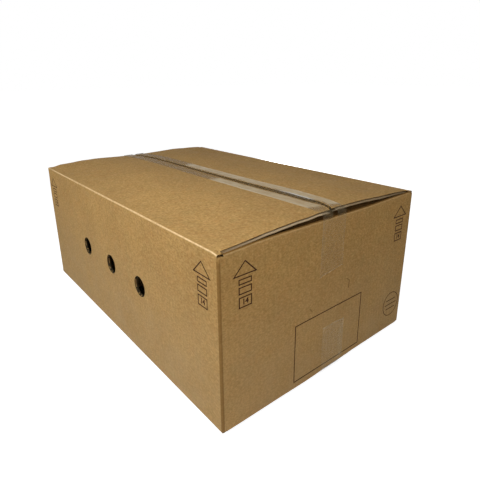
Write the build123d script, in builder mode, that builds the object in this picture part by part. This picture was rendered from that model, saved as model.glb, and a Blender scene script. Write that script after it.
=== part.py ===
from build123d import *
from math import atan, degrees, hypot, sqrt
import os

# Ventilated carton: one corrugated blank, folded and glued into a box, with a run of clear
# packing tape over the seam of its long flaps above and another below.
#
# Frame: origin on the ground under the middle of the box, +Z up. The long panels face -Y and
# +Y, the end panels face -X and +X, and both seams run along X.

# Board: single-wall C flute, a wavy medium between two liners. Its flutes run up the panels
# and on across the long flaps.
board = 4.0
liner = 0.6
medium = 0.5
flute_pitch = 7.7
flute_depth = 4.0  # how far in a flute is open where the board is cut across it
channel_depth = 2.5  # and how far in where the board is cut along it
back_flute_shift = 2.9  # the back flap's flutes don't stand opposite the front flap's

# Folds are scored, so the board bends tightly outside and creases sharply inside.
fold_radius = 3.0

# The box, outside. Its height is from fold to fold of the long panels.
length = 600.0
width = 390.0
height = 240.0

# The slots between neighbouring flaps take little from the long flaps' folds and more from
# the end flaps. The long flaps narrow to pass behind the end flaps' folds.
fold_inset = 2.0
long_flap_inset = 6.0
end_flap_inset = 7.5
slot_root = 3.2  # how far the slots run past the folds into the panels

# End flaps. They are folded in first: each dips under the long flaps from a rounded nose
# along its fold, which stands up in front of their ends, and leans on into the box.
nose_radius = 2.8
nose_drop = 0.2  # the noses' crests below the long panels' folds
flap_air = 0.3  # air between the long flaps and the end flaps at their folds
top_lean = 6.0
bottom_lean = 2.0

# Vents: round holes in a row along each long panel.
vent_diameter = 30.5
vent_spacing = 103.5
vent_count = 3
vent_offset = -4.0  # the row's middle from the panels' middle
vent_height = 122.5  # above the long panels' lower fold

# Glued joint: a tab folded off the back panel lies inside the left end panel.
tab_width = 35.0
tab_taper = 10.0  # how much shorter the tab's free edge is, at each end
tab_fold_radius = 2.0
raw_edge_gap = 0.5  # the end panel's raw edge stops this far short of the back panel's face

# Long flaps. Above, they bulge over the end flaps, and the tape holds them down only along
# the seam. Below, they sag, and the box stands on them. Each row gives a place along the
# flaps, from -1 at their left end to 1 at their right, and how far out from the folds the
# front flap's crown, the seam and the back flap's crown stand there.
crown_share = 0.45  # a crown's distance from its fold, as a share of the flap's depth
top_bulge = (
    (-1.0, 6.3, 4.0, 4.9),
    (-0.8, 7.5, 8.3, 7.0),
    (-0.05, 7.5, 10.5, 7.5),
    (0.6, 8.0, 12.5, 8.5),
    (1.0, 6.3, 10.6, 6.3),
)
bottom_sag = (
    (-1.0, 3.5, 6.0, 3.0),
    (1.0, 4.0, 6.0, 2.5),
)
top_seam_gap = 2.0, 4.0  # at the left end and at the right end
bottom_seam_gap = 3.0, 3.0

# Tape: clear film over each seam, carried on down or up both end panels.
film = 0.2
tape_width = 48.0
tape_land_margin = 3.0  # the long flaps lie level this far beyond the tape on each side
top_tape_tab = 84.0  # length on the end panels, from the long panels' folds
bottom_tape_tab = 74.0
top_tape_at = -0.6, -1.6  # the tape's middle across the box, at the left and at the right end
bottom_tape_at = -6.0, 16.2

# The hollows between the medium's waves and the liners.
core = board - 2 * liner
hollow_width = flute_pitch - medium * hypot(core, flute_pitch / 2) / core
hollow_height = hollow_width * core / flute_pitch

# Levels and places that follow from the sizes above.
lower_fold = max(seam for _, _, seam, _ in bottom_sag) + film
upper_fold = lower_fold + height
lower_end_face = lower_fold + board + flap_air
upper_end_face = upper_fold - board - flap_air
lower_root = lower_end_face + board
upper_root = upper_end_face - board
lower_slot = lower_fold + slot_root
upper_slot = upper_fold - slot_root
fold_end = length / 2 - fold_inset
flap_end = length / 2 - long_flap_inset
flap_side = width / 2 - end_flap_inset
crown_y = width / 2 - crown_share * width / 2
top_land = tape_width / 2 + max(abs(y) for y in top_tape_at) + tape_land_margin
bottom_land = tape_width / 2 + max(abs(y) for y in bottom_tape_at) + tape_land_margin


def long_flap_section(x, fold, root, out, land, rises, faces=(0, board)):
    """Section of both long flaps and their folds, across the box at x.

    out is +1 above and -1 below, and faces are the depths of the section's two faces in the
    board. The board is level across the land, where the tape lies.
    """
    front, seam, back = (fold + out * rise for rise in rises)
    with BuildSketch(Plane.YZ.offset(x)) as section:
        with BuildLine():
            for side, crown in ((-1, front), (1, back)):
                legs = [side * (width / 2 - depth) for depth in faces]
                Line((legs[0], root), (legs[1], root))
                for leg, depth in zip(legs, faces):
                    bend = max(fold_radius - depth, 0)
                    level = fold - out * depth
                    Line((leg, root), (leg, level - out * bend))
                    if bend:
                        TangentArc(
                            (leg, level - out * bend),
                            (leg - side * bend, level),
                            tangent=(0, out),
                        )
                    Spline(
                        (leg - side * bend, level),
                        (side * crown_y, crown - out * depth),
                        (side * land, seam - out * depth),
                        tangents=((-side, 0), (-side, 0)),
                    )
            for depth in faces:
                Line((-land, seam - out * depth), (land, seam - out * depth))
        make_face()
    return section.sketch


def end_flap_profile(end, fold, face, root, out, lean):
    """Side view of one end flap, with the nose along its fold. end is +1 at the right end and
    -1 at the left, fold is the long panels' fold and face is the flap's outer face there."""
    crest = fold - out * nose_drop
    eye = crest - out * nose_radius
    outer = length / 2
    inner = outer - board
    reach = sqrt(nose_radius**2 - (eye - face) ** 2)
    tip = outer - width / 2
    with BuildSketch(Plane.XZ) as profile:
        with BuildLine():
            Line((end * inner, root), (end * outer, root))
            Line((end * outer, root), (end * outer, eye))
            ThreePointArc(
                (end * outer, eye),
                (end * (outer - nose_radius), crest),
                (end * (outer - nose_radius - reach), face),
            )
            Polyline(
                (end * (outer - nose_radius - reach), face),
                (end * tip, face - out * lean),
                (end * tip, face - out * (lean + board)),
                (end * inner, root),
            )
        make_face()
    return profile.sketch


def strip_plan(left, right, strip_width):
    """Plan of a straight strip over the whole box. left and right are its middle's places
    across the box at the two ends, and strip_width is its width at each of them."""
    left_width, right_width = strip_width
    with BuildSketch() as plan:
        with BuildLine():
            Polyline(
                (-length, left - left_width / 2),
                (length, right - right_width / 2),
                (length, right + right_width / 2),
                (-length, left + left_width / 2),
                close=True,
            )
        make_face()
    return plan.sketch


def land_line(land, out):
    """The outer face of the long flaps' level land, from end to end, as seen from the front."""
    on_land = carton.edges().filter_by_position(Axis.Y, -land - film, -land + film)
    outermost = on_land.sort_by(Axis.Z, reverse=out < 0)[-1]
    return Plane.XZ.offset(land).to_local_coords(outermost)


def flute_hollow(base, out):
    """Section of the hollow between one wave of the medium and a liner. base is the height of
    the liner's face, and out is the side that the wave stands on."""
    return Polygon(
        (-hollow_width / 2, base),
        (hollow_width / 2, base),
        (0, base + out * hollow_height),
        align=None,
    )


def open_flutes(face, out, shift):
    """Section across the flutes of one long flap, along its outer face: hollows hang from the
    outer liner and stand on the inner one by turns."""
    half_waves = int(2 * (face.length - shift) / flute_pitch) - 1
    with BuildSketch(Plane.XZ) as hollows:
        for i in range(1, half_waves):
            share = (shift + i * flute_pitch / 2) / face.length
            along = face % share
            slope = degrees(atan(along.Y / along.X))
            with Locations(Location(face @ share, (0, 0, slope))):
                if i % 2:
                    flute_hollow(-out * liner, -out)
                else:
                    flute_hollow(-out * (board - liner), out)
    return hollows.sketch


def film_profile(land, root, tab_tip, out):
    """Side view of a tape: along the long flaps' level land, over their ends to the folds of
    the end flaps, and on along both end panels to tab_tip."""
    underside = land_line(land, out)
    with BuildSketch(Plane.XZ) as profile:
        with BuildLine():
            for depth in (0, film):
                run = underside.moved(Location((0, out * depth, 0)))
                add(run)
                for corner in (run @ 0, run @ 1):
                    side = 1 if corner.X > 0 else -1
                    wall = side * (length / 2 + depth)
                    TangentArc((wall, root), corner, tangent=(0, out))
                    Line((wall, root), (wall, tab_tip))
            for side in (-1, 1):
                Line((side * length / 2, tab_tip), (side * (length / 2 + film), tab_tip))
        make_face()
    return profile.sketch


# Carton: the whole folded and glued blank is one piece.
with BuildPart() as carton:
    # Long flaps: each two are lofted as one board and then parted along their seam.
    for fold, root, slot, out, land, rows, gap in (
        (upper_fold, upper_root, upper_slot, 1, top_land, top_bulge, top_seam_gap),
        (lower_fold, lower_root, lower_slot, -1, bottom_land, bottom_sag, bottom_seam_gap),
    ):
        loft(
            [
                long_flap_section(place * fold_end, fold, root, out, land, rises)
                for place, *rises in rows
            ]
        )

        # Beyond their folds they narrow, and stop behind the end flaps' folds.
        with BuildSketch(Plane.XY.offset(root)):
            Rectangle(length, 2 * flap_side)
            Rectangle(2 * flap_end, 2 * flap_side, mode=Mode.SUBTRACT)
        extrude(amount=out * height, mode=Mode.SUBTRACT)

        # Their ends are cut along the flutes, so a channel lies open between the liners.
        for place, *rises in (rows[0], rows[-1]):
            channel = (liner, board - liner)
            extrude(
                long_flap_section(place * fold_end, fold, slot, out, land, rises, channel),
                amount=-place * (fold_end - flap_end + channel_depth),
                mode=Mode.SUBTRACT,
            )

        seam = strip_plan(0, 0, gap).moved(Location((0, 0, root)))
        extrude(seam, amount=out * height, mode=Mode.SUBTRACT)

    # The top seam cuts across the flutes, so they stand open along both of its edges.
    for side, shift in ((-1, 0), (1, back_flute_shift)):
        extrude(
            open_flutes(land_line(top_land, 1), 1, channel_depth + shift),
            amount=-side * (max(top_seam_gap) / 2 + flute_depth),
            mode=Mode.SUBTRACT,
        )

    # The four panels, open at the corner where the blank is joined.
    joint = fold_radius + board
    with BuildSketch(Plane.XY.offset(lower_root)):
        RectangleRounded(length, width, fold_radius)
        Rectangle(length - 2 * board, width - 2 * board, mode=Mode.SUBTRACT)
        with Locations((-length / 2, width / 2)):
            Rectangle(joint, joint, align=(Align.MIN, Align.MAX), mode=Mode.SUBTRACT)
        with Locations((-length / 2, width / 2 - raw_edge_gap)):
            Rectangle(board, joint - raw_edge_gap, align=(Align.MIN, Align.MAX))
        with Locations((-length / 2 + liner, width / 2 - raw_edge_gap)):
            Rectangle(core, channel_depth, align=(Align.MIN, Align.MAX), mode=Mode.SUBTRACT)
    extrude(amount=upper_root - lower_root)

    # The back panel's fold into the glued tab, tucked behind the end panel's raw edge.
    with BuildSketch(Plane.XY.offset(lower_root)) as tab_fold:
        with Locations((-length / 2 + board, width / 2)):
            Rectangle(joint - board, board, align=(Align.MIN, Align.MAX))
            Rectangle(board, joint, align=(Align.MIN, Align.MAX))
        fillet(tab_fold.vertices().group_by(Axis.X)[0].sort_by(Axis.Y)[-1], tab_fold_radius)
    extrude(amount=upper_root - lower_root)

    # The tab itself, glued flat to the end panel, with tapered ends.
    with BuildSketch(Plane.YZ.offset(-length / 2 + board)):
        with BuildLine():
            Polyline(
                (width / 2 - board, lower_root),
                (width / 2 - board, upper_root),
                (width / 2 - board - tab_width, upper_root - tab_taper),
                (width / 2 - board - tab_width, lower_root + tab_taper),
                close=True,
            )
        make_face()
    extrude(amount=board)

    # The upright folds run on past the panels to the roots of the slots.
    for root, slot in ((upper_root, upper_slot), (lower_root, lower_slot)):
        with BuildSketch(Plane.XY.offset(root)):
            RectangleRounded(length, width, fold_radius)
            Rectangle(length - 2 * board, width - 2 * board, mode=Mode.SUBTRACT)
            Rectangle(2 * fold_end, width, mode=Mode.SUBTRACT)
            Rectangle(length, 2 * flap_side, mode=Mode.SUBTRACT)
        extrude(amount=slot - root)

    # End flaps, folded in under the long flaps.
    for fold, face, root, out, lean in (
        (upper_fold, upper_end_face, upper_root, 1, top_lean),
        (lower_fold, lower_end_face, lower_root, -1, bottom_lean),
    ):
        for end in (-1, 1):
            extrude(
                end_flap_profile(end, fold, face, root, out, lean), amount=flap_side, both=True
            )

    # Vents, punched through both long panels.
    with BuildSketch(Plane.XZ):
        with Locations((vent_offset, lower_fold + vent_height)):
            with GridLocations(vent_spacing, 0, vent_count, 1):
                Circle(vent_diameter / 2)
    extrude(amount=width, both=True, mode=Mode.SUBTRACT)
carton.part.label = "carton"

# Tapes: each is film bent to the box's side view and cut to its run in plan.
with BuildPart() as top_tape:
    extrude(
        film_profile(top_land, upper_fold, upper_fold - top_tape_tab, 1),
        amount=top_land,
        both=True,
    )
    extrude(
        strip_plan(*top_tape_at, (tape_width, tape_width)),
        amount=2 * height,
        mode=Mode.INTERSECT,
    )
top_tape.part.label = "top_tape"

with BuildPart() as bottom_tape:
    extrude(
        film_profile(bottom_land, lower_fold, lower_fold + bottom_tape_tab, -1),
        amount=bottom_land,
        both=True,
    )
    extrude(
        strip_plan(*bottom_tape_at, (tape_width, tape_width)),
        amount=2 * height,
        both=True,
        mode=Mode.INTERSECT,
    )
bottom_tape.part.label = "bottom_tape"

os.makedirs("parts", exist_ok=True)
for piece in (carton, top_tape, bottom_tape):
    export_step(piece.part, f"parts/{piece.part.label}.step")
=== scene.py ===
import math

import bmesh
import bpy
from mathutils import Matrix, Vector, noise
from mathutils.bvhtree import BVHTree


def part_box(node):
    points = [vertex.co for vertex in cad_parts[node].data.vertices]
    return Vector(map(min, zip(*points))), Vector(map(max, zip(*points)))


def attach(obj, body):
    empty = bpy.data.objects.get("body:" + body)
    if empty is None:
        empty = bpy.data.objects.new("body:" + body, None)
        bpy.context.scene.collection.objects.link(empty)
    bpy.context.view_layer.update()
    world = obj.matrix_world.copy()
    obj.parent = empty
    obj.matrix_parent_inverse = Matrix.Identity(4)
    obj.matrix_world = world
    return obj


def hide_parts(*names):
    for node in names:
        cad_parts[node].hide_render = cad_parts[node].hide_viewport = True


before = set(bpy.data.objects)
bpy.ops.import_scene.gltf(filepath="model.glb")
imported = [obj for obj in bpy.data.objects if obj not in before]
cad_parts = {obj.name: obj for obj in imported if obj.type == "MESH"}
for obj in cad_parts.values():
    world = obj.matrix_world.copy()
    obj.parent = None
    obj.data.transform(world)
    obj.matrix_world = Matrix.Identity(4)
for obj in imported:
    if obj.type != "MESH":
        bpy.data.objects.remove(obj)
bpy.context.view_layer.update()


# Carton: one blank of single-wall corrugated board, unbleached kraft liner outside and in,
# slotted, folded and glued at one upright corner. It has been packed and handled, so its
# folds and corners have given a little.
mm = 0.001  # sizes and places are in millimetres, and meshes in metres
hair = 0.1  # how near to a plane or an edge a point counts as on it

half_length = 300
half_width = 195
board = 4
liner = 0.6
flute_pitch = 7.7
upper_fold = 246.2
fold_radius = 3
fold_end = half_length - 2
flap_end = half_length - 6
flap_side = half_width - 7.5
channel_depth = 2.5  # how far in the last flute lies open at the flaps' ends
glued_edge = half_width - 0.5  # where the end panel stops, at the glued joint
seam_reach = 6.6  # half the top seam, with its open flutes
upper_slots = 200, 244.5  # the heights that the upper slots' corners lie between

vent_radius = 15.25
vent_places = [(x, 128.7) for x in (-107.5, -4, 99.5)]
open_flute = 2.4  # how far a flute reaches into the board round a vent
flute_from_liner = 0.9  # and how far from the liner it is there
rim_spread = 0.42  # how far the punch has spread a vent's rim, as a share of an open flute

axes = Matrix.Identity(3)


def eased(value, start, end):
    """0 up to start and 1 from end on, with a soft step between."""
    share = min(max((value - start) / (end - start), 0), 1)
    return share * share * (3 - 2 * share)


def along(value, places):
    """A height read off a gentle curve through (place, height) pairs."""
    if value <= places[0][0]:
        return places[0][1]
    for (start, low), (end, high) in zip(places, places[1:]):
        if value <= end:
            return low + (high - low) * eased(value, start, end)
    return places[-1][1]


def nearness(first, second, spread):
    """1 at the point where both distances are 0, and almost 0 a few spreads away."""
    return math.exp(-((math.hypot(first, second) / spread) ** 2))


def nearest_vent(x, z):
    """The middle of the vent nearest to a place on the long panels."""
    return min(vent_places, key=lambda middle: math.dist((x, z), middle))


# How far the folds and flaps at the ends have moved up, by place across.
right_end_fold_give = (
    (-190, -1.2), (-160, -0.4), (-142, 0.7), (-100, 1), (-60, 0.4), (0, -0.2), (75, -0.8), (150, 0.2),
)
right_end_foot_give = (
    (-190, 0), (-160, -0.5), (-110, -0.9), (-45, -1.9), (-20, -1.6), (-4, 0.4), (180, 0.5),
)
right_flap_give = (
    (-188, 0), (-180, 0.8), (-147, 1), (-121, 0.6), (-107, -0.2), (-82, -1.3), (-50, -1.6), (-25, -0.5),
    (38, -0.6), (82, -0.5), (109, 0), (131, 1.5), (154, 2.8), (172, 2.4), (188, 0.4),
)
left_flap_give = (
    (-188, 0.6), (-169, 3.4), (-135, 1.8), (-107, 0), (-63, 0.1), (-24, 0.3), (8, -0.8), (59, -0.6),
    (128, 1), (154, 2.6), (176, 2.6), (188, 0.5),
)
# How far the top seam has wandered across the box, by place along it.
seam_drift = ((150, 0), (214, 2), (269, 4.5), (285, 1), (flap_end, -4))
long_wave = 95
short_wave = 33
end_give_from = 215  # the flaps' ends give this far from the box's middle and beyond
corner_lean = 4.5
foot_lean = 1.7


def handled(point):
    """Where a point of the fresh carton, in metres, sits on the handled one."""
    x, y, z = point / mm
    wave = noise.noise(Vector((x, y, z)) / long_wave)
    ripple = noise.noise(Vector((x, y, z)) / short_wave + Vector((7, 3, 5)))

    # Panels are never quite flat: they lie a little inside their planes.
    hollow_by = 0.45 + 0.4 * wave + 0.12 * ripple
    hollow_by *= eased(z, 6, 40) * (1 - eased(z, 214, 246))
    on_long = eased(abs(y), half_width - 9, half_width - 5) * (1 - eased(abs(x), 255, fold_end))
    on_end = eased(abs(x), half_length - 10, half_length - 5)
    on_end *= 1 - eased(abs(y), 155, half_width - 2)
    y -= math.copysign(hollow_by * on_long, y)
    x -= math.copysign(hollow_by * on_end, x)

    # The top flaps undulate a little between their folds and the seam, and the front one has
    # sunk below the back one along the seam.
    underside = upper_fold - board
    on_flaps = eased(z, underside - 0.3, underside + 0.2) * (abs(y) < half_width - 5)
    on_flaps *= 1 - eased(abs(x), flap_end + 0.2, flap_end + 0.4)
    z += on_flaps * (1 - eased(abs(y), 150, half_width - fold_radius)) * (0.6 * wave + 0.2 * ripple - 0.45)
    z += on_flaps * eased(x, end_give_from, flap_end) * along(y, right_flap_give)
    z += on_flaps * eased(-x, end_give_from, flap_end) * along(y, left_flap_give)
    sunk = (1.9 + 1.1 * eased(x, -50, 220)) * (1 - 0.6 * eased(abs(x), 240, 290))
    z -= on_flaps * sunk * eased(y, -85, -5) * (1 - eased(y, -1.6, 1.6))
    y += on_flaps * (1 - eased(abs(y), 5, 40)) * along(x, seam_drift)

    # The right end's folds run unevenly above and sag below.
    at_right_fold = eased(x, flap_end + 0.2, flap_end + 0.4)
    z += at_right_fold * eased(z, 225, 242) * along(y, right_end_fold_give)
    z += at_right_fold * eased(z, 5.9, 6.3) * (1 - eased(z, 9, 45)) * along(y, right_end_foot_give)

    # The left front upright leans in towards its bruised top corner.
    at_left_front = eased(-x, 225, half_length) * eased(-y, 120, half_width)
    x += corner_lean * at_left_front * eased(z, 185, 246)
    # The right back upright leans in towards the ground.
    at_right_back = eased(x, 120, half_length) * eased(y, 60, half_width)
    y -= foot_lean * at_right_back * (1 - eased(z, 0, 190))
    return Vector((x, y, z)) * mm


def split(mesh, axis, place, faces=None):
    """Cuts a mesh, or only some of its faces, where axis 0, 1 or 2 is at place, and gives back
    those faces as they are then."""
    if faces is None:
        parts = mesh.verts[:] + mesh.edges[:] + mesh.faces[:]
    else:
        parts = list(dict.fromkeys(part for face in faces for part in (face, *face.verts, *face.edges)))
    cut = bmesh.ops.bisect_plane(mesh, geom=parts, plane_co=axes[axis] * place * mm, plane_no=axes[axis])
    return [part for part in cut["geom"] if isinstance(part, bmesh.types.BMFace)]


def cut_in_grid(mesh, node, step):
    """Cuts a mesh across the box of its CAD node, evenly along all three axes, so that it can
    bend."""
    for axis, (low, high) in enumerate(zip(*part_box(node))):
        count = round((high - low) / mm / step)
        for i in range(1, count):
            split(mesh, axis, (low + (high - low) * i / count) / mm)


def finished(name, mesh, *materials):
    """A shaded object from a bmesh, at the origin."""
    data = bpy.data.meshes.new(name)
    mesh.to_mesh(data)
    mesh.free()
    for layer in [a.name for a in data.attributes if a.name == "custom_normal"]:
        data.attributes.remove(data.attributes[layer])
    data.shade_smooth()
    data.set_sharp_from_angle(angle=math.radians(32))
    for material in materials:
        data.materials.append(material)
    piece = bpy.data.objects.new(name, data)
    bpy.context.scene.collection.objects.link(piece)
    return piece


def cad_copy(node):
    """A bmesh of a CAD node with its loose triangles joined up."""
    mesh = bmesh.new()
    mesh.from_mesh(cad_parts[node].data)
    bmesh.ops.remove_doubles(mesh, verts=mesh.verts, dist=0.002 * mm)
    bmesh.ops.dissolve_limit(mesh, angle_limit=math.radians(0.2), verts=mesh.verts, edges=mesh.edges)
    return mesh


carton = cad_copy("carton")


def in_vent_wall(face, vent, side):
    """Whether a face lies in the round wall of a vent. side is -1 on the front panel and 1 on
    the back one."""
    for vert in face.verts:
        x, y, z = vert.co / mm
        if abs(math.dist((x, z), vent) - vent_radius) > 2 * hair or side * y < half_width - 1.5 * board:
            return False
    return abs(face.normal.y) < 0.3


# In the vents' walls the flutes stand open between the liners, first on one side of the
# medium and then on the other, and the punch has spread the outer liner's rim.
near_outer, near_inner = liner + flute_from_liner, board - liner - flute_from_liner
for vent in vent_places:
    for side in (-1, 1):
        wall = [face for face in carton.faces if in_vent_wall(face, vent, side)]
        for depth in (liner, near_outer, board / 2, near_inner, board - liner):
            wall = split(carton, 1, side * (half_width - depth), wall)
        for vert in {vert for face in wall for vert in face.verts}:
            x, y, z = vert.co / mm
            depth = half_width - abs(y)
            turn = 2 * math.pi * x / flute_pitch
            reaches = (
                (0, rim_spread),
                (liner, rim_spread / 3),
                (near_outer, max(0, math.cos(turn))),
                (near_inner, max(0, -math.cos(turn))),
            )
            reach = next((reach for level, reach in reaches if abs(depth - level) < hair / 10), 0)
            vert.co += Vector((x - vent[0], 0, z - vent[1])).normalized() * open_flute * reach * mm


def is_cut(face):
    """Whether a face is the raw edge of the board, not a liner."""
    x, y, z = face.calc_center_median() / mm
    across, sideways = [abs(part) > 0.9 for part in face.normal.xy]
    corners = [vert.co / mm for vert in face.verts]

    channel = flap_end - channel_depth - hair, flap_end + hair
    in_flute = all(channel[0] < abs(v.x) < channel[1] for v in corners) and not 9 < z < 243
    at_end = across and channel[0] < abs(x) < channel[1]
    at_side = sideways and abs(abs(y) - flap_side) < hair
    at_seam = max(abs(v.y) for v in corners) < seam_reach and abs(face.normal.z) < 0.6
    at_joint = sideways and abs(y - glued_edge) < hair
    from_vent = math.dist((x, z), nearest_vent(x, z))
    at_vent = not sideways and from_vent < vent_radius + 3 and abs(y) > half_width - 5

    at_slot = across and abs(abs(x) - fold_end) < hair and abs(y) > flap_side
    # Faces inside the upper slots take the raw edge's material, whose painted shade darkens them near the
    # slots' tops.
    in_upper_slot = all(
        abs(v.x) > flap_end - hair and abs(v.y) > flap_side - hair and upper_slots[0] < v.z < upper_slots[1]
        for v in corners
    )
    outside = abs(x) > half_length - hair or abs(y) > half_width - hair
    outward = Vector((math.copysign(1, x), math.copysign(1, y), 0))
    if in_upper_slot and not outside and face.normal.dot(outward) < 0.3:
        at_slot = True
    return in_flute or at_end or at_side or at_seam or at_joint or at_vent or at_slot


for face in carton.faces:
    face.material_index = int(is_cut(face))

cut_in_grid(carton, "carton", 12)
for axis, place in ((0, half_length - 3.5), (1, half_width - 3.5)):
    for side in (-1, 1):
        beside = [f for f in carton.faces if side * f.calc_center_median()[axis] > (place - 12) * mm]
        split(carton, axis, side * place, beside)

fresh_surface = BVHTree.FromBMesh(carton)

# The long folds along the top are pressed nearly sharp, and so are the end panels' top folds.
fold_foot = upper_fold - fold_radius
fold_side = half_width - fold_radius
for vert in carton.verts:
    x, y, z = vert.co / mm
    if abs(y) > fold_side and z > fold_foot:
        across, up = (abs(y) - fold_side) / fold_radius, (z - fold_foot) / fold_radius
        push = (across**8 + up**8) ** (-1 / 8) if min(across, up) > 0.05 else 1
        if abs(math.hypot(across, up) - 1) < 0.03:
            vert.co.y = math.copysign((fold_side + fold_radius * across * push) * mm, y)
            vert.co.z = (fold_foot + fold_radius * up * push) * mm
    elif abs(x) > flap_end + 0.5 and abs(y) < flap_side and z > fold_foot + hair:
        pressed = abs(x) + 0.9 * (z - fold_foot) / 2.8
        vert.co.x = math.copysign(min(pressed, half_length) * mm, x)


def worn_and_highlit_at(x, y, z):
    """How pale a place is, from wear and from a painted highlight: along the folds, where the liner's
    surface has cracked and the rounded folds catch the light.
    """
    at_front_fold = nearness(y + half_width - 0.4, z - upper_fold + 0.3, 1.05)
    at_back_fold = nearness(y - half_width + 0.4, z - upper_fold + 0.3, 1.1)
    at_end_edge = nearness(abs(x) - half_length, z - 244.4, 0.8) * (abs(y) < flap_side)
    return max(at_front_fold, 0.5 * at_back_fold, 0.3 * at_end_edge)


def fold_shade_at(x, y, z):
    """How dark the painted shade is at a place: on the upright folds, the end panels' top folds and the
    edge that stands on the ground."""
    beyond = min(abs(x) - half_length, abs(y) - half_width) + fold_radius
    at_upright = (beyond > -0.01) * eased(z, 3, 12) * (1 - eased(z, 238, 246))
    if beyond < hair:
        at_upright *= 0.6
    on_face = max(eased(abs(x) - half_length, -4, -1), eased(abs(y) - half_width, -4, -1))
    at_ground = 0.7 * on_face * (1 - eased(z, 1.5, 6))
    at_end_fold = eased(z, 244.7, 245.3) * (abs(y) < flap_side)
    at_end_fold *= eased(abs(x), flap_end + 0.4, flap_end + 0.6)
    at_end_fold *= 1 - eased(abs(x), half_length - 0.6, half_length)
    return max(at_upright, at_ground, 1.3 * at_end_fold)


def hollow_at(x, y, z):
    """How deep a place lies in a hollow that no light reaches: along the top seam, in the
    slots' corners and round the vents' walls."""
    at_seam = (abs(y) < seam_reach) * eased(z, 247, 250) * (0.85 - 0.5 * max(0, math.cos(x / 5.3)))
    in_slot = (abs(y) > flap_side - hair) * eased(abs(x), flap_end - hair, flap_end + 0.2)
    in_slot *= 0.9 * eased(z, 238, 241) * (z < 246)
    in_vent = 0.97 * (math.dist((x, z), nearest_vent(x, z)) < vent_radius + board)
    return max(at_seam, in_slot, in_vent)


def torn_lip(x, y, z):
    """How far a place has been torn off at the flaps' ends, and how bare it is. There the last
    flute is open along its top, and its wall and the inner liner hang under the outer liner."""
    if not flap_end - channel_depth - hair < abs(x) < flap_end + hair:
        return Vector(), 0
    if abs(y) > flap_side + hair or z < upper_fold - board + hair:
        return Vector(), 0
    above = Vector((math.copysign(flap_end - 0.5, x), y, upper_fold + 50)) * mm
    below = fresh_surface.ray_cast(above, -axes[2])[0].z / mm - z
    inwards = (flap_end - abs(x)) / channel_depth
    ragged = noise.noise(Vector((x / 40, y / 6, 3)))
    clear = 1 - eased(abs(y), 110, 170)  # of the corners, which hold the lip up
    away, up, bare = 0, 0, 0
    if below > 3:
        on_underside = below > 3.8
        away = 2.1 * inwards + clear * (1.3 + 0.8 * ragged)
        up = (1.3 - 0.1 * on_underside) * inwards + 0.1 * clear * on_underside
        bare = 1 - 0.5 * eased(y, 0, 40)
    elif below > 2.2:
        away, up, bare = 1.1, 0.9, 0.1
    elif abs(x) > flap_end - hair:
        away = 0.5 * ragged * clear
        up = 0.3 * ragged * clear * (below > 0.4)
    return Vector((math.copysign(1, x) * away, 0, up)) * mm, bare


worn_and_highlit_fold, painted_fold_shade, hollow, raw_lip = [
    carton.verts.layers.float.new(name) for name in ("worn_and_highlit_fold", "painted_fold_shade", "hollow", "raw_lip")
]
for vert in carton.verts:
    place = vert.co / mm
    vert[worn_and_highlit_fold] = worn_and_highlit_at(*place)
    vert[painted_fold_shade] = fold_shade_at(*place)
    vert[hollow] = hollow_at(*place)
    torn_off, vert[raw_lip] = torn_lip(*place)
    vert.co = handled(vert.co) + torn_off
carton_surface = BVHTree.FromBMesh(carton)


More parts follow.
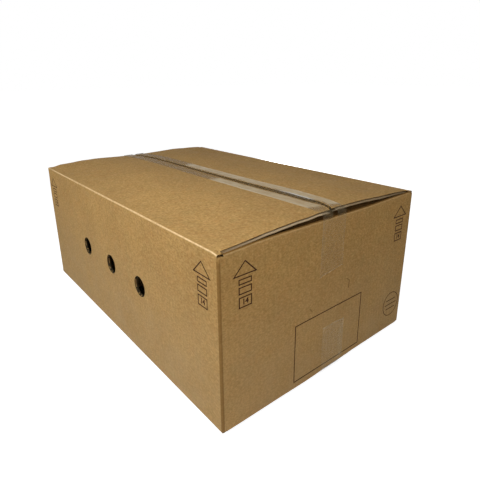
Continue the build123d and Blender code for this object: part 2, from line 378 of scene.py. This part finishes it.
class Finish:
    """A material, with short ways to add nodes to it. A value is a number, a colour or what
    another node gives."""

    def __init__(self, name):
        self.material = bpy.data.materials.new(name)
        self.material.use_nodes = True
        self.nodes = self.material.node_tree.nodes
        self.links = self.material.node_tree.links
        self.shader = self.nodes["Principled BSDF"]
        self.position = self.nodes.new("ShaderNodeTexCoord").outputs["Object"]

    def feed(self, socket, value):
        """Gives a socket a value."""
        if isinstance(value, bpy.types.NodeSocket):
            self.links.new(value, socket)
        elif isinstance(value, tuple) and len(value) < len(socket.default_value):
            socket.default_value = (*value, 1)
        else:
            socket.default_value = value

    def parts_of(self, vector):
        """The three parts of a vector."""
        parts = self.nodes.new("ShaderNodeSeparateXYZ")
        self.feed(parts.inputs["Vector"], vector)
        return parts.outputs

    def clouds(self, scale, detail, stretch=(1, 1, 1), roughness=0.5):
        """Noise over the piece, squeezed by stretch."""
        mapping = self.nodes.new("ShaderNodeMapping")
        self.feed(mapping.inputs["Scale"], stretch)
        self.feed(mapping.inputs["Vector"], self.position)
        texture = self.nodes.new("ShaderNodeTexNoise")
        self.feed(texture.inputs["Vector"], mapping.outputs["Vector"])
        for name, value in (("Scale", scale), ("Detail", detail), ("Roughness", roughness)):
            self.feed(texture.inputs[name], value)
        return texture.outputs["Fac"]

    def ranged(self, value, low, high, start=0.3, end=0.7):
        """low where value is start or less, and high where it is end or more."""
        span = self.nodes.new("ShaderNodeMapRange")
        for socket, number in zip(span.inputs, (value, start, end, low, high)):
            self.feed(socket, number)
        return span.outputs["Result"]

    def reckoned(self, operation, *values):
        """The outcome of a sum, or of another operation on numbers."""
        step = self.nodes.new("ShaderNodeMath")
        step.operation = operation
        for socket, value in zip(step.inputs, values):
            self.feed(socket, value)
        return step.outputs["Value"]

    def tinted(self, factor, below, colour):
        """A colour laid over the one below."""
        mix = self.nodes.new("ShaderNodeMix")
        mix.data_type = "RGBA"
        for name, value in (("Factor", factor), ("A", below), ("B", colour)):
            self.feed(mix.inputs[name], value)
        return mix.outputs["Result"]

    def held(self, attribute):
        """What a piece's mesh holds under an attribute's name."""
        node = self.nodes.new("ShaderNodeAttribute")
        node.attribute_name = attribute
        return node.outputs["Fac"]

    def relief(self, height, distance):
        """Raises the surface by up to distance."""
        bump = self.nodes.new("ShaderNodeBump")
        self.feed(bump.inputs["Distance"], distance * mm)
        self.feed(bump.inputs["Height"], height)
        self.feed(self.shader.inputs["Normal"], bump.outputs["Normal"])

    def done(self, colour, roughness, specular):
        """The material, with its colour and gloss set."""
        self.feed(self.shader.inputs["Base Color"], colour)
        self.feed(self.shader.inputs["Roughness"], roughness)
        self.shader.inputs["Specular IOR Level"].default_value = specular
        return self.material


def washboard(finish):
    """Ridges over the flutes, from -1 to 1: by length on the long panels and flaps, and by
    width on the end panels."""
    geometry = finish.nodes.new("ShaderNodeNewGeometry")
    facing = finish.parts_of(geometry.outputs["True Normal"])
    turns = [
        finish.reckoned("SINE", finish.reckoned("MULTIPLY", place, 2 * math.pi / (flute_pitch * mm)))
        for place in finish.parts_of(finish.position)[:2]
    ]
    ridges = finish.nodes.new("ShaderNodeMix")
    on_end = finish.reckoned("GREATER_THAN", finish.reckoned("ABSOLUTE", facing["X"]), 0.7)
    for name, value in zip(("Factor", "A", "B"), (on_end, *turns)):
        finish.feed(ridges.inputs[name], value)
    return ridges.outputs["Result"]


# Scratches on the right end: foot across, foot's height, lean in degrees, length, strength.
scratches = ((41.5, 126, 0, 13.5, 0.95), (41.5, 138.5, 55, 8, 0.6), (-38, 116, 40, 9, 0.5))
scratch_width = 1.3


def scratch(finish, foot_y, foot_z, lean, length, strength):
    """How deep one scratch is at a place: a frame of its own runs up it, from 0 to 1."""
    slot = finish.nodes.new("ShaderNodeMapping")
    slot.vector_type = "TEXTURE"
    slot.inputs["Location"].default_value = Vector((half_length, foot_y, foot_z)) * mm
    slot.inputs["Rotation"].default_value = (math.radians(lean), 0, 0)
    slot.inputs["Scale"].default_value = Vector((20, scratch_width, length)) * mm
    finish.feed(slot.inputs["Vector"], finish.position)
    place = finish.parts_of(slot.outputs["Vector"])
    beside = finish.reckoned("ABSOLUTE", place["Y"])
    from_middle = finish.reckoned("ABSOLUTE", finish.reckoned("SUBTRACT", place["Z"], 0.5))
    within = finish.reckoned("LESS_THAN", from_middle, 0.5)
    near_end = finish.reckoned("LESS_THAN", finish.reckoned("ABSOLUTE", place["X"]), 1)
    inside = finish.reckoned("MULTIPLY", within, near_end)
    return finish.reckoned("MULTIPLY", finish.ranged(beside, strength, 0, 0, 1), inside)


def kraft_liner():
    """Unbleached kraft liner: cloudy brown fibres, faint washboarding over the flutes, folds worn lighter
    with a painted highlight, and painted shade on the upright folds, the end panels' top folds and the
    foot."""
    finish = Finish("kraft_liner")

    def clouds(scale, detail, stretch=(1, 1, 1)):
        return finish.clouds(scale, detail, stretch, roughness=0.55)

    # Pulp: pale and dark clouds, with a redder and a greener cast here and there.
    pulp = finish.tinted(finish.ranged(clouds(14, 5), 0, 1), (0.497, 0.295, 0.1), (0.385, 0.224, 0.077))
    pulp = finish.tinted(finish.ranged(clouds(75, 3), 0, 0.55, 0.45, 0.72), pulp, (0.46, 0.235, 0.078))
    pulp = finish.tinted(finish.ranged(clouds(52, 3), 0, 0.4, 0.5, 0.75), pulp, (0.33, 0.235, 0.085))
    # Fibres: short pale flecks, and finer dark ones between them.
    fibres = clouds(300, 3, (0.7, 0.7, 1.1))
    fine_fibres = clouds(420, 3, (0.8, 0.8, 1.2))
    pulp = finish.tinted(finish.ranged(fibres, 0, 0.55, 0.38, 0.68), pulp, (0.60, 0.385, 0.150))
    pulp = finish.tinted(finish.ranged(fine_fibres, 0, 0.62, 0.38, 0.66), pulp, (0.265, 0.15, 0.05))
    ridges = washboard(finish)
    pulp = finish.tinted(finish.ranged(ridges, 0, 0.1, -1, 1), pulp, (0.30, 0.18, 0.07))

    # The panels' lower parts are greyer and less brown, in patches.
    lowness = finish.ranged(finish.parts_of(finish.position)["Z"], 0, 1, 200 * mm, 0)
    low_grey = finish.reckoned("MULTIPLY", lowness, finish.ranged(clouds(24, 4), 0.25, 0.6))
    pulp = finish.tinted(low_grey, pulp, (0.43, 0.31, 0.17))

    # Painted shade darkens the upright folds, the end panels' top folds and the foot; the other folds are
    # worn pale with a painted highlight; and a few scratches mark the right end.
    # Painted shade: brown darkening on the upright folds, the end panels' top folds and along the foot.
    shade_on_folds = finish.reckoned("MULTIPLY", finish.held("painted_fold_shade"), 0.75)
    pulp = finish.tinted(shade_on_folds, pulp, (0.17, 0.085, 0.022))
    # Folds worn pale, with a painted highlight where they round over.
    ragged = finish.ranged(clouds(210, 3), 0.55, 1.25)
    worn_and_highlit = finish.reckoned("MULTIPLY", finish.held("worn_and_highlit_fold"), ragged)
    pulp = finish.tinted(worn_and_highlit, pulp, (0.86, 0.62, 0.33))
    for sizes in scratches:
        pulp = finish.tinted(scratch(finish, *sizes), pulp, (0.10, 0.055, 0.02))

    rise = finish.reckoned("MULTIPLY", ridges, 0.3)
    for texture, share in ((fibres, 0.5), (clouds(60, 4), 1.6)):
        rise = finish.reckoned("ADD", rise, finish.reckoned("MULTIPLY", texture, share))
    finish.relief(rise, 0.12)
    return finish.done(pulp, finish.ranged(clouds(90, 2), 0.62, 0.8), 0.04)


def raw_edge():
    """Cut board: the medium's torn fibres, darker than the liners and very rough, paler where the inner
    liner juts out and nearly black with painted shade in the hollows."""
    finish = Finish("raw_board_edge")
    fibres = finish.ranged(finish.clouds(600, 4), 0, 1, 0.38, 0.68)
    torn = finish.tinted(fibres, (0.10, 0.055, 0.02), (0.24, 0.15, 0.065))
    torn = finish.tinted(finish.held("raw_lip"), torn, (0.53, 0.41, 0.26))
    # Painted shade: the hollows that no light reaches are tinted nearly black.
    torn = finish.tinted(finish.held("hollow"), torn, (0.035, 0.026, 0.014))
    return finish.done(torn, 0.95, 0.05)


blank = finished("folded_blank", carton, kraft_liner(), raw_edge())
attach(blank, "root")
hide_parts("carton")


# Print: dark brown flexo ink, laid straight on the outer liner before the blank was slotted.
# Handling marks stand near the upright folds, and the right end also has a ruled panel and a
# round mark.
ink_line = 1.6
ink_thickness = 0.06
ink_bite = 0.04  # how far the ink has sunk into the liner
ink_step = 6  # the cuts that let the ink follow its panel stand this far apart
ink_cuts = ((0, -199.7, 67), (1, 0.3, 50))  # along which axis, from where, and how many
on_its_side = math.pi / 4  # the turn that a four-sided outline needs


def flexo_ink():
    """Dark brown ink that has sunk unevenly into the liner."""
    finish = Finish("flexo_ink")
    cover = finish.ranged(finish.clouds(260, 4), 0, 1, 0.35, 0.72)
    return finish.done(finish.tinted(cover, (0.030, 0.012, 0.007), (0.085, 0.038, 0.02)), 0.85, 0.08)


def outline(shapes, sides, centre, size, line=ink_line, turned=0):
    """Adds a printed outline, flat in u and v: a polygon as wide and tall as size, less all
    but a line of its face."""
    shape = bmesh.new()
    bmesh.ops.create_circle(shape, cap_ends=True, segments=sides, radius=1)
    bmesh.ops.rotate(shape, verts=shape.verts, cent=(0, 0, 0), matrix=Matrix.Rotation(turned, 3, "Z"))
    reach = [max(v.co[i] for v in shape.verts) - min(v.co[i] for v in shape.verts) for i in (0, 1)]
    foot = min(v.co.y for v in shape.verts)
    for v in shape.verts:
        v.co.x *= size[0] / reach[0]
        v.co.y = (v.co.y - foot) * size[1] / reach[1] - size[1] / 2
    bmesh.ops.inset_individual(shape, faces=shape.faces, thickness=line, use_even_offset=True)
    middle = min(shape.faces, key=lambda face: max(v.co.length for v in face.verts))
    bmesh.ops.delete(shape, geom=[middle], context="FACES")
    bmesh.ops.translate(shape, verts=shape.verts, vec=(*centre, 0))
    shapes.append(shape)


def bar(shapes, centre, size):
    """Adds a printed bar, flat in u and v."""
    shape = bmesh.new()
    bmesh.ops.create_grid(shape, x_segments=1, y_segments=1, size=0.5)
    bmesh.ops.scale(shape, verts=shape.verts, vec=(*size, 1))
    bmesh.ops.translate(shape, verts=shape.verts, vec=(*centre, 0))
    shapes.append(shape)


def figures(shapes, words, centre, height):
    """Adds plain printed figures, flat in u and v."""
    curve = bpy.data.curves.new("figures", "FONT")
    curve.body = words
    curve.size = height * 1.4
    curve.offset = 0.35
    curve.align_x = "CENTER"
    curve.align_y = "CENTER"
    holder = bpy.data.objects.new("figures", curve)
    data = bpy.data.meshes.new_from_object(holder)
    shape = bmesh.new()
    shape.from_mesh(data)
    bpy.data.objects.remove(holder)
    bpy.data.meshes.remove(data)
    bmesh.ops.remove_doubles(shape, verts=shape.verts, dist=0.01)
    bmesh.ops.translate(shape, verts=shape.verts, vec=(*centre, 0))
    shapes.append(shape)


def handling_mark(shapes, u, v):
    """Adds one handling mark: an arrowhead over two bars and a numbered box. u is its middle
    and v its point's height."""
    number_drop = 52.3
    outline(shapes, 3, (u, v - 9.3), (37, 18.6))
    for drop, height in ((26, 7.4), (37.2, 9.6), (number_drop, 14.2)):
        outline(shapes, 4, (u, v - drop), (20, height), turned=on_its_side)
    figures(shapes, "14", (u, v - number_drop), 7)


def pressed_on(shapes, panel):
    """Lays flat shapes on a panel of the carton, as ink, and joins them in one mesh. panel
    turns u, v and outward into the carton's axes."""
    print_mesh = bmesh.new()
    for shape in shapes:
        holder = bpy.data.meshes.new("shape")
        shape.to_mesh(holder)
        shape.free()
        print_mesh.from_mesh(holder)
        bpy.data.meshes.remove(holder)
    bmesh.ops.scale(print_mesh, verts=print_mesh.verts, vec=(mm, mm, mm))
    for axis, start, count in ink_cuts:
        for i in range(count):
            split(print_mesh, axis, start + i * ink_step)

    outward = panel.to_3x3() @ axes[2]
    above = outward * 20 * mm
    for vert in print_mesh.verts:
        flat = panel @ vert.co
        hit = carton_surface.ray_cast(flat + above, -outward, 2 * above.length)[0]
        vert.co = (hit or flat) - outward * ink_bite * mm
    bmesh.ops.recalc_face_normals(print_mesh, faces=print_mesh.faces)
    top = bmesh.ops.extrude_face_region(print_mesh, geom=print_mesh.faces[:])["geom"]
    raised = [item for item in top if isinstance(item, bmesh.types.BMVert)]
    bmesh.ops.translate(print_mesh, verts=raised, vec=outward * (ink_thickness + ink_bite) * mm)
    bmesh.ops.recalc_face_normals(print_mesh, faces=print_mesh.faces)
    return print_mesh


ink = flexo_ink()

front_shapes = []
handling_mark(front_shapes, 267, 228.8)
handling_mark(front_shapes, -269, 228.5)
front_panel = Matrix(((1, 0, 0, 0), (0, 0, -1, -half_width * mm), (0, 1, 0, 0), (0, 0, 0, 1)))
front_print = finished("front_handling_marks", pressed_on(front_shapes, front_panel), ink)

end_shapes = []
handling_mark(end_shapes, -157.2, 229.9)
handling_mark(end_shapes, 163.4, 228.4)
outline(end_shapes, 4, (2, 61.7), (147, 91), turned=on_its_side)
round_mark = 164, 53
outline(end_shapes, 24, round_mark, (44, 44), line=1.2)
for rise, width in ((8, 26), (0, 32), (-8, 26)):
    bar(end_shapes, (round_mark[0], round_mark[1] + rise), (width, 1.4))
end_panel = Matrix(((0, 0, 1, half_length * mm), (1, 0, 0, 0), (0, 1, 0, 0), (0, 0, 0, 1)))
end_print = finished("right_end_marks", pressed_on(end_shapes, end_panel), ink)

for marks in (front_print, end_print):
    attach(marks, "root")


# Tapes: clear film with a soft adhesive, pressed over each seam and on down the end panels.
# Where it bridges a gap the film is clear and glossy, and beside the top seam, where the
# flaps have moved under it, the adhesive has let go and looks whitish.
half_tape = 24
film_press = 0.12  # how far the adhesive side is pressed into the liner
tooth_step = 1.1  # the cuts for the torn tips' teeth stand this far apart


def packing_tape():
    """Clear film. Its attributes say how much it covers, how white it has gone and where a glint is painted
    on it."""
    finish = Finish("packing_tape")
    streaks = finish.clouds(130, 4, (0.35, 1.6, 0.8))
    covering = finish.reckoned("MULTIPLY", finish.held("cover"), finish.ranged(streaks, 0.8, 1.2))
    finish.feed(finish.shader.inputs["Alpha"], covering)
    film = finish.tinted(finish.held("whitened"), (0.13, 0.105, 0.06), (0.76, 0.62, 0.39))
    # Painted glint: nearly white where a fold in the film catches the light.
    film = finish.tinted(finish.held("painted_glint"), film, (0.95, 0.95, 0.9))
    finish.relief(streaks, 0.1)
    return finish.done(film, 0.3, 0.08)


def film_look(x, y, z, middle):
    """How much the film covers, how whitened it is and how strong its painted glint is, at a place. middle
    is the tape's middle across the box."""
    across = abs(y - middle)
    on_top = z > 100
    if abs(x) > half_length - 0.3 and 10 < z < 241:
        rim = eased(across, half_tape - 1.4, half_tape - 0.4)
        if on_top:
            return 0.12 + 0.1 * rim, 0.64 + 0.2 * rim, 0
        return 0.17 + 0.1 * rim, 0.95, 0
    if not on_top:
        return 0.25 - 0.21 * eased(abs(x), flap_end - 1, flap_end + 2), 0.1, 0

    # The adhesive has let go sooner on the back flap than on the front one.
    bridging = eased(abs(x), flap_end - 3, flap_end)
    start = -82 if y > 0 else 46
    end = 281 + 0.35 * y
    let_go = eased(x, start - 7, start + 7) * (1 - eased(x, end - 6, end + 6))
    beside_seam = eased(abs(y), 2.5, 6.5)
    cover = 0.28 + let_go * beside_seam * (0.2 + 0.14 * eased(across, half_tape - 6, half_tape - 2))
    cover -= 0.18 * (1 - beside_seam) + 0.12 * eased(x, 285, 290) + 0.03 * bridging
    whiteness = 0.03 + 0.85 * let_go * beside_seam + 0.1 * bridging
    # A painted glint where a fold in the film catches the light on the back flap, close beside the seam.
    glint = nearness(y - 3.2, 0, 1.7) * eased(x, 165, 215) * (1 - eased(x, 243, 262))
    return cover + 0.6 * glint, whiteness, glint


def laid_tape(node, middle, tip, torn):
    """The tape in one CAD node, bent with the handled carton and pressed onto it. Its ends are
    torn off unevenly: tip is their level, and torn how far in the tear runs, by place across
    the box."""
    mesh = cad_copy(node)
    low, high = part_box(node)
    up = 1 if tip > 100 else -1

    def end_rows():
        return [face for face in mesh.faces if abs(face.calc_center_median().z - tip * mm) < 12 * mm]

    cut_in_grid(mesh, node, 6)
    for y in (0.8, 1.6, 2.4, 4, 6):
        split(mesh, 1, -y)
        split(mesh, 1, y)
    for i in range(1, round((high.y - low.y) / mm / tooth_step)):
        split(mesh, 1, low.y / mm + i * tooth_step, end_rows())
    split(mesh, 2, tip + 2 * up, end_rows())

    mesh.normal_update()
    look = [mesh.verts.layers.float.new(name) for name in ("cover", "whitened", "painted_glint")]
    for vert in mesh.verts:
        x, y, z = vert.co / mm
        cover, whitened, painted_glint = film_look(x, y, z, middle)
        # Painted highlight: the torn tips are drawn whiter and denser along their edge.
        if abs(z - tip) < 1:
            cover, whitened = cover + 0.3, 1
        for layer, value in zip(look, (cover, whitened, painted_glint)):
            vert[layer] = value

        sideways = math.copysign(eased(abs(x), flap_end - 2, half_length - 0.2), x)
        upwards = up * (1 - eased(abs(x), flap_end, half_length - 0.1))
        outward = Vector((sideways, 0, upwards))
        if vert.normal.dot(outward) < 0:
            vert.co -= outward * film_press * mm
        near_tip = 1 - eased(abs(z - tip), 0, 14)
        teeth = 0.7 * math.sin(2.2 * y) + 0.5 * noise.noise(Vector((0, y, z)) * 0.4)
        vert.co.z += near_tip * (along(y, torn) + teeth) * mm
        vert.co = handled(vert.co)
    return mesh


film = packing_tape()
top_tape = laid_tape("top_tape", -1, 162.2, ((-26, 0.5), (-20, 3), (22, 7)))
bottom_tape = laid_tape("bottom_tape", 5, 80.2, ((-8, -1), (12, -0.4), (40, -2.5)))
for name, mesh, node in (
    ("top_packing_tape", top_tape, "top_tape"),
    ("bottom_packing_tape", bottom_tape, "bottom_tape"),
):
    tape = finished(name, mesh, film)
    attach(tape, "root")
    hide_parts(node)


# Studio: a white floor under a white surround, a broad key light high in front of the box,
# and soft light from all round. Sizes and places are in metres from here on.
def showing(nodes, links):
    """1 for a ray that shows what it meets, straight, mirrored or through clear film, and 0 for
    one that only gathers light."""
    path = nodes.new("ShaderNodeLightPath")
    shown = path.outputs["Is Camera Ray"]
    for ray in ("Is Glossy Ray", "Is Transmission Ray"):
        either = nodes.new("ShaderNodeMath")
        either.operation = "MAXIMUM"
        links.new(shown, either.inputs[0])
        links.new(path.outputs[ray], either.inputs[1])
        shown = either.outputs["Value"]
    return shown


def white_floor():
    """Matt pale paint that shows nearly white, with the box's shadow on it."""
    material = bpy.data.materials.new("floor_paint")
    material.use_nodes = True
    nodes, links = material.node_tree.nodes, material.node_tree.links
    paint = nodes["Principled BSDF"]
    paint.inputs["Base Color"].default_value = (0.8, 0.8, 0.8, 1)
    paint.inputs["Roughness"].default_value = 0.9
    glow = nodes.new("ShaderNodeEmission")
    glow.inputs["Strength"].default_value = 0.94
    shaded = nodes.new("ShaderNodeBsdfDiffuse")
    shaded.inputs["Color"].default_value = (0.42, 0.42, 0.42, 1)
    shown = nodes.new("ShaderNodeAddShader")
    links.new(glow.outputs["Emission"], shown.inputs[0])
    links.new(shaded.outputs["BSDF"], shown.inputs[1])
    mix = nodes.new("ShaderNodeMixShader")
    links.new(showing(nodes, links), mix.inputs["Fac"])
    links.new(paint.outputs["BSDF"], mix.inputs[1])
    links.new(shown.outputs["Shader"], mix.inputs[2])
    links.new(mix.outputs["Shader"], nodes["Material Output"].inputs["Surface"])
    return material


bpy.ops.mesh.primitive_plane_add(size=30)
floor = bpy.context.object
floor.name = "floor"
floor.data.materials.append(white_floor())

world = bpy.data.worlds.new("studio")
bpy.context.scene.world = world
world.use_nodes = True
world_nodes, world_links = world.node_tree.nodes, world.node_tree.links
surround = world_nodes["Background"]
surround.inputs["Color"].default_value = (1, 1, 1, 1)
strength = world_nodes.new("ShaderNodeMapRange")
strength.inputs["To Min"].default_value = 0.17
strength.inputs["To Max"].default_value = 1
world_links.new(showing(world_nodes, world_links), strength.inputs["Value"])
world_links.new(strength.outputs["Result"], surround.inputs["Strength"])


def softbox(name, place, target, size, power, colour=(1, 1, 1)):
    """A square area light at place, turned to target."""
    data = bpy.data.lights.new(name, "AREA")
    data.size = size
    data.energy = power
    data.color = colour
    lamp = bpy.data.objects.new(name, data)
    bpy.context.scene.collection.objects.link(lamp)
    aim = (Vector(target) - Vector(place)).to_track_quat("-Z", "Y")
    lamp.matrix_world = Matrix.Translation(place) @ aim.to_matrix().to_4x4()
    lamp.visible_camera = False
    return lamp


box_middle = (0, 0, 0.15)
softbox("key", (0.26, -0.54, 0.78), box_middle, 0.66, 5.6, (0.95, 0.98, 1))
softbox("left_front_fill", (-0.34, -0.76, 0.46), box_middle, 0.6, 1, (0.94, 0.98, 1))
softbox("right_end_fill", (1.09, -0.45, 0.46), box_middle, 0.7, 2.2, (1, 0.91, 0.77))
back_fill = softbox("back_fill", (-0.9, 1.2, 0.13), (0, 0, 0.13), 0.22, 9)
back_fill.visible_glossy = False

# Camera: at the box's near right corner, a little above it.
camera_data = bpy.data.cameras.new("camera")
camera_data.sensor_width = 36
camera_data.lens = 31.629
camera_data.shift_x = -0.00854
camera_data.shift_y = -0.0562
camera = bpy.data.objects.new("camera", camera_data)
camera.location = (0.63117, -0.43277, 0.42512)
camera.rotation_euler = [math.radians(angle) for angle in (71.93, 0.455, 50.215)]
bpy.context.scene.collection.objects.link(camera)
bpy.context.scene.camera = camera
bpy.context.scene.view_settings.view_transform = "Standard"
